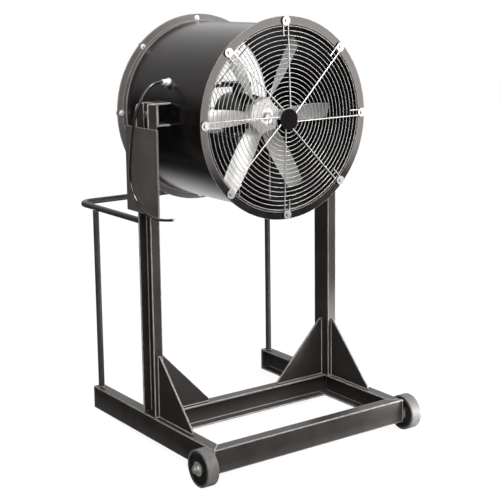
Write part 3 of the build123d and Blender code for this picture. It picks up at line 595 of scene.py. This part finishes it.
# ---------------------------------------------------------------- camera
# Fitted to the photograph in the level unit's frame, and leaned with it.
CAMERA_LEVEL = Vector((-3.00083, -3.82071, 1.90815))
CAMERA_WAY = Vector((0.56701, 0.80494, -0.17484))
CAMERA_ROLL = radians(-0.7)
CAMERA_FOCAL_PIXELS = 1229.7
PHOTO_SIDE = 500
PHOTO_CENTRE_ROW = 200
camera_data = bpy.data.cameras.new("camera")
camera_data.sensor_width = 36.0
camera_data.lens = CAMERA_FOCAL_PIXELS / PHOTO_SIDE * camera_data.sensor_width
camera_data.shift_y = (PHOTO_CENTRE_ROW - PHOTO_SIDE / 2) / PHOTO_SIDE
camera_data.clip_end = 100
camera = put("camera", camera_data)
bpy.context.scene.camera = camera
way = CAMERA_WAY.normalized()
right = way.cross(Vector((0, 0, 1))).normalized()
up = right.cross(way)
c, s = cos(CAMERA_ROLL), sin(CAMERA_ROLL)
level_camera = Matrix((right * c + up * s, up * c - right * s, -way)).transposed().to_4x4()
level_camera.translation = CAMERA_LEVEL
camera.matrix_world = STANDING @ level_camera

# ---------------------------------------------------------------- floor
# The camera sees the floor as FLOOR_SHARE of white glow and the rest of lit grey, which keeps the
# shadow. Glossy surfaces see the glow only, and only behind the fan and to its right, so that
# faces which look down at the floor in front stay black.
FLOOR_HALF = 12
FLOOR_GREY = 0.80
FLOOR_ROUGHNESS = 0.9
FLOOR_GLOW = 1.14
FLOOR_SHARE = 0.80
FLOOR_FADES = (("X", -0.40, 0.15, 0.02, 1.0), ("Y", 1.0, 1.5, 0.02, 1.0))

floor_mesh = bpy.data.meshes.new("floor")
corners = [(x * FLOOR_HALF, y * FLOOR_HALF, 0) for x, y in ((-1, -1), (1, -1), (1, 1), (-1, 1))]
floor_mesh.from_pydata(corners, [], [(0, 1, 2, 3)])
floor = put("floor", floor_mesh)
floor_material = bpy.data.materials.new("studio_floor")
floor_material.use_nodes = True
tree = floor_material.node_tree
lit = fill(tree, tree.nodes["Principled BSDF"], {
    "Base Color": as_colour(FLOOR_GREY), "Roughness": FLOOR_ROUGHNESS}).outputs["BSDF"]
rays = tree.nodes.new("ShaderNodeLightPath").outputs
floor_place = tree.nodes.new("ShaderNodeNewGeometry").outputs["Position"]
mirrored = maths(tree, "MULTIPLY", rays["Is Glossy Ray"], faded(tree, floor_place, FLOOR_FADES))
seen = maths(tree, "MAXIMUM", rays["Is Camera Ray"], mirrored)
glow = add(tree, "ShaderNodeEmission", {"Strength": maths(tree, "MULTIPLY", seen, FLOOR_GLOW)})
share = maths(tree, "MULTIPLY_ADD", rays["Is Camera Ray"], FLOOR_SHARE, rays["Is Glossy Ray"])
mix = add(tree, "ShaderNodeMixShader", {"Fac": share, 1: lit, 2: glow.outputs["Emission"]})
fill(tree, tree.nodes["Material Output"], {"Surface": mix.outputs["Shader"]})
floor_mesh.materials.append(floor_material)

# ---------------------------------------------------------------- world
# The camera sees plain white. The light that the world gives is white behind and above the fan,
# strongest to the right, and dark at the horizon and behind the camera.
WHITE = as_colour(1.0)
WORLD_FADES = (("Z", 0.0, 0.22, 0.02, 1.0), ("Y", -0.6, 0.2, 0.12, 1.0),
               ("X", -0.6, 0.6, 0.35, 1.3))

world = bpy.data.worlds.new("studio")
bpy.context.scene.world = world
world.use_nodes = True
tree = world.node_tree
way_out = tree.nodes.new("ShaderNodeTexCoord").outputs["Generated"]
light = fill(tree, tree.nodes["Background"], {
    "Color": WHITE, "Strength": faded(tree, way_out, WORLD_FADES)})
backdrop = add(tree, "ShaderNodeBackground", {"Color": WHITE, "Strength": 1.0})
rays = tree.nodes.new("ShaderNodeLightPath").outputs
seen = maths(tree, "MAXIMUM", rays["Is Camera Ray"], rays["Is Transmission Ray"])
mix = add(tree, "ShaderNodeMixShader", {
    "Fac": seen, 1: light.outputs["Background"], 2: backdrop.outputs["Background"]})
fill(tree, tree.nodes["World Output"], {"Surface": mix.outputs["Shader"]})


# ---------------------------------------------------------------- lamps
# The key lights the front from the left, and the top lamp the drum's upper side. The right panel
# is what the faces to the front mirror, and the low lamp lights the front rail's right end.
def lamp(name, place, aim, size, power):
    """A rectangular lamp at a place, turned to an aim, with its size in metres and power in watts."""
    data = bpy.data.lights.new(name, "AREA")
    data.shape = "RECTANGLE"
    data.size, data.size_y = size
    data.energy = power
    obj = put(name, data)
    obj.location = place
    obj.rotation_euler = (Vector(aim) - Vector(place)).to_track_quat("-Z", "Y").to_euler()


lamp("key", (-2.0, -4.2, 3.2), (0, 0, 1.3), (3.4, 2.6), 100)
lamp("top", (-0.7, -1.5, 3.9), (0, 0.4, 1.4), (1.2, 1.2), 95)
lamp("right_panel", (2.6, -3.2, 2.1), (0, 0, 1.3), (2.2, 2.7), 125)
lamp("low_right", (0.95, -0.90, 0.12), (0.2, 0.0, 0.08), (0.4, 0.15), 9)

scene = bpy.context.scene
scene.view_settings.view_transform = "Standard"
